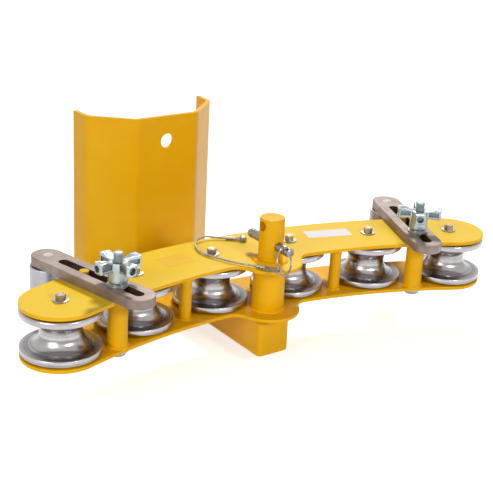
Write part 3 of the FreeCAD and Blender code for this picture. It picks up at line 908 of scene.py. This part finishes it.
def add_anchor():
    """A pan-head screw, and a plain washer under the eye."""
    place = (*station(0, *ANCHOR_OFFSET), 0)
    low = CORD_LOW + 1.6
    pan = rounded([(2.0, low), (4.75, low), (4.75, low + 1.5), (3.9, low + 2.9), (1.8, low + 3.4),
                   (0.0, low + 3.4)], 0.5, 3)
    head = lathe("anchor_head", pan, place, steps=48)
    shank = thread("anchor_shank", ANCHOR_RADIUS, 0.8, PLATE_IN, low + 0.2, place, 24, rows_per_turn=6)
    plate = rounded([(ANCHOR_RADIUS, PLATE_OUT), (4.2, PLATE_OUT), (4.2, PLATE_OUT + 0.9),
                     (ANCHOR_RADIUS, PLATE_OUT + 0.9)], 0.2, 2)
    flange = lathe("anchor_flange", plate, place, steps=48, closed=True)
    made = join("lanyard_anchor_screw", [head, shank, flange])
    shade(made)
    finish_piece(made, "frame", "zinc_plate", replaced=("lanyard_anchor",))


def add_sheave(number):
    """A spool with a deep round groove, its rims rounded over."""
    rim, half, edge, lip = SHEAVE_RIM, SHEAVE_HALF, 3.6, 1.4
    face = BUSH_RADIUS + 9.0
    profile = [(BUSH_RADIUS, -half), (face, -half)]
    profile += arc((rim - edge, edge - half), edge, -90, 0, 8)
    profile += arc((rim - lip, -GROOVE - lip), lip, 0, 90, 4)
    profile += arc((WAIST + GROOVE, 0), GROOVE, 270, 90, 36)
    profile += arc((rim - lip, GROOVE + lip), lip, -90, 0, 4)
    profile += arc((rim - edge, half - edge), edge, 0, 90, 8)
    profile += [(face, half), (BUSH_RADIUS, half)]
    made = lathe("sheave_spool_%d" % number, profile, (*sheave_place(number), 0), steps=144, closed=True)
    finish_piece(made, "sheave_body_%d" % number, "polished_aluminium", replaced=("sheave_%d" % number,))


def add_axle_hardware():
    nuts, bolts, washers = [], [], []
    seat, (bore, rim) = PLATE_OUT + 0.02, AXLE_WASHER
    washer = rounded([(bore, seat), (rim, seat), (rim, WASHER_TOP), (bore, WASHER_TOP)], 0.3, 3)
    for number in range(1, SHEAVE_COUNT + 1):
        place = (*sheave_place(number), 0)
        turn = math.radians(17 + 23 * number)
        nuts.append(hex_nut("nut", HEX_FLATS, WASHER_TOP, NUT_TOP, AXLE_RADIUS + 0.02, place, 0.6, turn))
        bolts.append(thread("tail", AXLE_RADIUS, AXLE_PITCH, WASHER_TOP, AXLE_TOP, place, 32, 0.9))
        bolts.append(rod("shank", AXLE_RADIUS - 0.05, -PLATE_OUT + 0.1, WASHER_TOP + 0.3, place, 32))
        bolts.append(hex_nut("head", HEX_FLATS, -PLATE_OUT - AXLE_HEAD, -PLATE_OUT, 0.02, place, turn=turn))
        washers.append(lathe("washer", washer, place, steps=56, closed=True))
    for name, objs, look, node in (("lock_nuts", nuts, "nut_zinc", "axle_nuts"),
                                   ("hex_bolts", bolts, "zinc_plate", "axle_bolts"),
                                   ("flat_washers", washers, "zinc_plate", "axle_washers")):
        made = join(name, objs)
        shade(made)
        finish_piece(made, "frame", look, (node,))


def add_post():
    """The swivel post with a rounded top and its two cross holes."""
    foot = ARM_FLOOR + ARM_WALL
    profile = rounded([(0.0, foot), (POST_RADIUS, foot), (POST_RADIUS, POST_TOP), (0.0, POST_TOP)], 2.2, 6)
    post = lathe("swivel_post_round", profile, swung=False, steps=128)
    cutters = [rod("cut_pin", PIN_HOLE_RADIUS, -40, 40, (0, 0, PIN_Z), 64, "Y", False),
               rod("cut_cross", CROSS_HOLE_RADIUS, -40, 40, (0, 0, CROSS_HOLE_Z), 64, "X", False)]
    combine(post, cutters, "DIFFERENCE")
    shade(post)
    finish_piece(post, "base", "yellow_paint", replaced=("swivel_post",))


def add_sleeve():
    """The tube that turns on the post, with the welds that hold it in the plates."""
    profile = rounded([(SLEEVE_BORE, -PLATE_OUT), (SLEEVE_RADIUS, -PLATE_OUT),
                       (SLEEVE_RADIUS, SLEEVE_TOP), (SLEEVE_BORE, SLEEVE_TOP)], 0.8, 4)
    body = lathe("sleeve_tube", profile, steps=112, closed=True)
    finish_piece(body, "frame", "yellow_paint", replaced=("pivot_sleeve",))
    for name, z, leg, rise in (("sleeve_weld_top", PLATE_OUT, 3.0, 1),
                               ("sleeve_weld_bottom", -PLATE_IN, 2.6, 1),
                               ("sleeve_weld_under", PLATE_IN, 2.6, -1)):
        bead = ring_weld(name, SLEEVE_RADIUS - 0.1, z, leg, (0, 0, 0), rise)
        finish_piece(bead, "frame", "yellow_paint")


def add_post_welds():
    """Welds round the foot and head of each spacer and keeper post."""
    for side, word in ((-1, "left"), (1, "right")):
        spacer = (*station(side, -SPACER_INSET), 0)
        for kind, place, radius, leg in (("spacer", spacer, SPACER_RADIUS, 1.9),
                                         ("keeper", keeper_place(side), KEEPER_POST_RADIUS, 2.3)):
            for level, z, rise in (("low", -PLATE_IN, 1), ("high", PLATE_IN, -1)):
                bead = ring_weld("%s_weld_%s_%s" % (kind, level, word), radius, z, leg, place, rise)
                finish_piece(bead, "frame", "yellow_paint")


def add_arm_weld():
    """Fillet weld all round the arm where it meets the pole saddle."""
    corner = 3.2
    half = ARM_HALF
    middle = (ARM_TOP + ARM_FLOOR) / 2
    path = []
    sides = [((1, 0), (0, 1)), ((0, 1), (-1, 0)), ((-1, 0), (0, -1)), ((0, -1), (1, 0))]
    for out, along in sides:
        for k in range(28):
            t = -1 + 2 * (k + 0.5) / 28
            reach = (half - corner) * t
            x = out[0] * half + along[0] * reach
            z = out[1] * half + along[1] * reach
            path.append(((x, SADDLE_REACH, middle + z), (out[0], 0, out[1]), (0, -1, 0)))
        for k in range(1, 4):
            turn = math.pi / 2 * k / 4
            d = [out[i] * math.cos(turn) + along[i] * math.sin(turn) for i in (0, 1)]
            x = (out[0] + along[0]) * (half - corner) + d[0] * corner
            z = (out[1] + along[1]) * (half - corner) + d[1] * corner
            path.append(((x, SADDLE_REACH, middle + z), (d[0], 0, d[1]), (0, -1, 0)))
    bead = weld("arm_weld", path, 5.0, 0.08, 3.2, swung=False)
    finish_piece(bead, "base", "yellow_paint")


def add_pin():
    """The detent pin: neck and ring hole in front, a groove and locking balls near its tail."""
    neck, front, back, full = RING_HOLE_Y + 3.5, PIN_FRONT, PIN_BACK, PIN_RADIUS
    profile = rounded([(0.0, front), (full - 2.2, front), (full - 0.6, front + 0.8), (full, front + 2.2),
                       (full, neck), (full - 2.2, neck + 0.2), (full - 2.2, neck + 1.8), (full, neck + 2.0),
                       (full, back - 11.4), (full - 1.3, back - 11.2), (full - 1.3, back - 9.7),
                       (full, back - 9.5), (full, back - 4.2), (full - 1.2, back - 1.4),
                       (full - 3.4, back), (0.0, back)], 0.5, 3)
    pin = lathe("detent_pin_bar", profile, (0, 0, PIN_Z), False, 72, "Y")
    hole = rod("cut_ring", 2.4, -12, 12, (0, RING_HOLE_Y, PIN_Z), 40, "X", False)
    hole.rotation_euler.y = RING_LEAN
    button = rod("cut_button", 2.9, -2, 0.9, (0, PIN_FRONT, PIN_Z), 48, "Y", False)
    combine(pin, [hole, button], "DIFFERENCE")
    shade(pin)
    dome = rounded([(0, 0.5), (2.4, 0.5), (2.4, 0.0), (1.9, -0.6), (0, -0.8)], 0.3, 3)
    parts = [pin, lathe("button", dome, (0, PIN_FRONT + 0.85, PIN_Z), False, 48, "Y")]
    for side in (-1, 1):
        ball = arc((0, 0), 1.8, 90, -90, 16)
        parts.append(lathe("ball", ball, (side * 4.6, PIN_BACK - 6.0, PIN_Z), False, 32))
    made = join("detent_pin_round", parts)
    shade(made)
    finish_piece(made, "pin", "bright_steel", replaced=("detent_pin",))


def add_ring():
    """A wire ring through the pin's cross hole, hanging out over the lobe's edge."""
    centre, axis, down = ring_frame()
    across = axis.cross(down)
    points = []
    steps, sides = 144, 16
    for i in range(steps):
        turn = 2 * math.pi * i / steps
        out = axis * math.cos(turn) + down * math.sin(turn)
        for k in range(sides):
            at = 2 * math.pi * k / sides
            points.append(out * (RING_RADIUS + RING_WIRE * math.cos(at)) + across * RING_WIRE * math.sin(at))
    rows = [range(i, i + sides) for i in range(0, len(points), sides)]
    made = add_mesh("pull_ring_wire", points, skin(rows + rows[:1]), (0, 0, 0), False)
    made.location = centre
    finish_piece(made, "ring", "bright_steel", replaced=("pull_ring",))


def add_roller(side, word):
    profile = rounded([(STUD_BORE, ROLLER_LOW), (20.0, ROLLER_LOW), (ROLLER_RADIUS, ROLLER_LOW),
                       (ROLLER_RADIUS, ROLLER_HIGH), (20.0, ROLLER_HIGH), (STUD_BORE, ROLLER_HIGH)], 2.0, 6)
    made = lathe("roller_drum_" + word, profile, keeper_place(side, ROLLER_OFFSET), steps=112, closed=True)
    finish_piece(made, "roller_" + word, "roller_aluminium", ("keeper_roller_" + word,))


def add_stud(side, word):
    """The hex bolt that the knob screws on, threaded where it stands above the plates."""
    place = keeper_place(side)
    seat, start = -PLATE_OUT - 1.7, PLATE_IN - 4.0
    tip = rounded([(0.0, STUD_TOP - 3.0), (5.9, STUD_TOP - 3.0), (5.9, STUD_TOP - 0.9), (5.0, STUD_TOP),
                   (0.0, STUD_TOP)], 0.2, 3)
    parts = [thread("rod", STUD_RADIUS, STUD_PITCH, start, STUD_TOP - 1.2, place, 48, 0.4),
             lathe("tip", tip, place, steps=48),
             rod("shank", STUD_RADIUS, seat, start, place, 48),
             hex_nut("head", STUD_HEX, seat - 5.5, seat, 0.02, place, 1.3, math.radians(11))]
    made = join("stud_bolt_" + word, parts)
    shade(made)
    finish_piece(made, "frame", "stud_zinc", ("keeper_stud_" + word,))
    low, high = BAR_TOP + 0.05, BAR_TOP + 0.05 + WASHER_HEIGHT
    profile = rounded([(STUD_BORE, low), (14.0, low), (14.0, high - 0.9), (11.2, high - 0.7),
                       (11.2, high), (STUD_BORE, high)], 0.4, 4)
    washer = lathe("captive_washer_" + word, profile, place, steps=80, closed=True)
    finish_piece(washer, "knob_seat_" + word, "zinc_plate", replaced=("knob_washer_" + word,))


def prong_solid(place, turn):
    """One arm of the star, waisted in plan and dipped near the hub."""
    root, tip, crown = 5.9, 7.5, 2.6
    high = KNOB_BASE + KNOB_HEIGHT
    low = high - PRONG_DROP
    hub_top = KNOB_BASE + HUB_HEIGHT
    outline = [(2.0, -root), (NECK_RADIUS, -root * 0.96), (PRONG_DIP_END, -root * 1.05),
               (PRONG_REACH - crown, -tip)]
    for k in range(1, 8):
        at = -math.pi / 2 + math.pi * k / 8
        outline.append((PRONG_REACH - crown + crown * math.cos(at), tip * math.sin(at)))
    outline += [(x, -y) for x, y in reversed(outline[:4])]

    def top_at(x):
        part = min(1.0, max(0.0, (x - NECK_RADIUS) / (PRONG_DIP_END - NECK_RADIUS)))
        return hub_top + (high - hub_top) * part

    points = [(x, y, low + 1.2 * max(0.0, 1 - x / PRONG_DIP_END)) for x, y in outline]
    points += [(x, y, top_at(x)) for x, y in outline]
    return add_mesh("arm", points, slab_faces(len(outline)), place, turn=turn, smooth=False)


def side_recess(place, turn, side):
    """A cutter for the shallow panel in one side of an arm."""
    low = KNOB_BASE + KNOB_HEIGHT - PRONG_DROP + 3.6
    high = low + 6.4
    plan = [(12.6, side * 4.2), (PRONG_REACH - 4.2, side * 5.3), (PRONG_REACH - 3.8, side * 11.0),
            (12.6, side * 11.0)]
    points = [(x, y, z) for z in (low, high) for x, y in plan]
    return add_mesh("recess", points, slab_faces(4), place, turn=turn, smooth=False)


def add_knob(side, word):
    """A die-cast star knob: four hollow-ended arms on a hub with a stepped foot."""
    place = keeper_place(side)
    turn = KNOB_TURNS[word]
    foot, top = KNOB_BASE, KNOB_BASE + HUB_HEIGHT
    under = KNOB_BASE + KNOB_HEIGHT - PRONG_DROP
    body = lathe("hub", [(0.0, foot), (HUB_RADIUS - 1.6, foot), (HUB_RADIUS - 1.6, foot + 1.2),
                         (HUB_RADIUS, foot + 1.5), (HUB_RADIUS, foot + 5.0), (NECK_RADIUS, under - 2.0),
                         (NECK_RADIUS, top), (0.0, top)], place, steps=64)
    combine(body, [prong_solid(place, turn + math.pi / 2 * k) for k in range(4)], "UNION")
    remesh = body.modifiers.new("remesh", "REMESH")
    remesh.mode = "VOXEL"
    remesh.voxel_size = 0.6 * MM
    smooth = body.modifiers.new("smooth", "SMOOTH")
    smooth.factor = 0.5
    smooth.iterations = 6
    apply_modifiers(body)
    body.data.materials.append(looks["cast_zinc"])
    cutters = [rod("bore", 6.4, foot - 2, top + 4, place, 64)]
    middle = KNOB_BASE + KNOB_HEIGHT - PRONG_DROP / 2
    for k in range(4):
        at = turn + math.pi / 2 * k
        end = (place[0] + PRONG_REACH * math.cos(at), place[1] + PRONG_REACH * math.sin(at), middle)
        pocket = rounded([(0, -6.5), (3.6, -6.5), (5.0, 1.5), (0, 1.5)], 0.8, 3)
        cutters.append(lathe("pocket", pocket, end, steps=40, axis="X", turn=at))
        cutters += [side_recess(place, at, -1), side_recess(place, at, 1)]
    # The hollows take a darker zinc, as painted shade inside them.
    for cutter in cutters:
        cutter.data.materials.append(looks["painted_shade_zinc"])
    combine(body, cutters, "DIFFERENCE")
    body.name = "star_knob_cast_" + word
    shade(body, math.radians(40))
    finish_piece(body, "knob_" + word, "cast_zinc", ("star_knob_" + word,))


def add_label(name, place, size, turn, look):
    """A blank vinyl label with rounded corners, lying on the top plate."""
    wide, deep = size[0] / 2, size[1] / 2
    corner = 1.5
    outline = []
    for x, y, start in ((1, 1, 0), (-1, 1, 90), (-1, -1, 180), (1, -1, 270)):
        outline += arc((x * (wide - corner), y * (deep - corner)), corner, start, start + 90, 5)
    points = [(x, y, z) for z in (-0.02, 0.15) for x, y in outline]
    made = add_mesh(name, points, slab_faces(len(outline)), (*place, PLATE_OUT), turn=turn)
    finish_piece(made, "frame", look)


def add_area(name, place, size, power):
    """A square lamp that looks at the middle of the block."""
    data = bpy.data.lights.new(name, "AREA")
    data.size = size
    data.energy = power
    obj = put(name, data)
    obj.location = place
    aim = (Vector(LAMP_TARGET) - Vector(place)).to_track_quat("-Z", "Y")
    obj.rotation_euler = aim.to_euler()


def background_rays(tree):
    """One for camera, glossy and transmission rays, which all see the white background."""
    paths = tree.nodes.new("ShaderNodeLightPath")
    total = paths.outputs["Is Camera Ray"]
    for kind in ("Is Glossy Ray", "Is Transmission Ray"):
        most = tree.nodes.new("ShaderNodeMath")
        most.operation = "MAXIMUM"
        tree.links.new(total, most.inputs[0])
        tree.links.new(paths.outputs[kind], most.inputs[1])
        total = most.outputs["Value"]
    return total


def add_world():
    """White to the eye and in reflections, dim to matt surfaces."""
    world = bpy.data.worlds.new("studio")
    bpy.context.scene.world = world
    world.use_nodes = True
    tree = world.node_tree
    background = tree.nodes["Background"]
    level = tree.nodes.new("ShaderNodeMapRange")
    level.inputs["To Min"].default_value = WORLD_MATT
    tree.links.new(background_rays(tree), level.inputs["Value"])
    tree.links.new(level.outputs["Result"], background.inputs["Strength"])
    background.inputs["Color"].default_value = (1.0, 1.0, 1.0, 1.0)


def add_floor():
    """A matt floor just under the part, which turns white further out, in reflections too."""
    bm = bmesh.new()
    bmesh.ops.create_grid(bm, x_segments=8, y_segments=8, size=FLOOR_HALF)
    mesh = bpy.data.meshes.new("floor")
    bm.to_mesh(mesh)
    bm.free()
    floor = put("floor", mesh)
    floor.location = (0, 0, cad_box[0][2] - FLOOR_GAP)
    g = Graph("floor_white")
    away = g.node("ShaderNodeVectorMath", operation="LENGTH")
    g.link(g.place, away.inputs[0])
    glow = g.ramp(away.outputs["Value"], *FLOOR_GLOW, *FLOOR_FADE)
    glow = g.math("MULTIPLY", background_rays(g.tree), glow)
    mesh.materials.append(g.set(Base_Color=(0.80, 0.80, 0.80, 1.0), Roughness=0.9, Specular_IOR_Level=0.0,
                                Emission_Color=(1.0, 1.0, 1.0, 1.0), Emission_Strength=glow))


def add_lights():
    add_area("back_box", (1.45, 1.5, 2.5), 0.5, 102.0)
    add_area("front_box", (0.1, -2.0, 0.75), 0.3, 12.5)
    add_area("left_box", (-1.6, -0.85, 0.6), 0.9, 12.0)


add_camera()
looks = make_materials()
add_lanyard()
add_anchor()
dress_nodes()
for sheave_number in range(1, SHEAVE_COUNT + 1):
    add_sheave(sheave_number)
add_axle_hardware()
add_post()
add_sleeve()
add_post_welds()
add_arm_weld()
add_pin()
add_ring()
for keeper_side, keeper_word in ((-1, "left"), (1, "right")):
    add_roller(keeper_side, keeper_word)
    add_stud(keeper_side, keeper_word)
    add_knob(keeper_side, keeper_word)
add_label("blank_label_white", (128.1, 51.6), (66.0, 26.0), math.radians(-12.5), "white_vinyl")
add_label("blank_label_yellow", (-115.5, 50.0), (42.0, 32.0), math.radians(9.0), "yellow_vinyl")
add_world()
add_floor()
add_lights()
scene = bpy.context.scene
scene.view_settings.view_transform = "Standard"
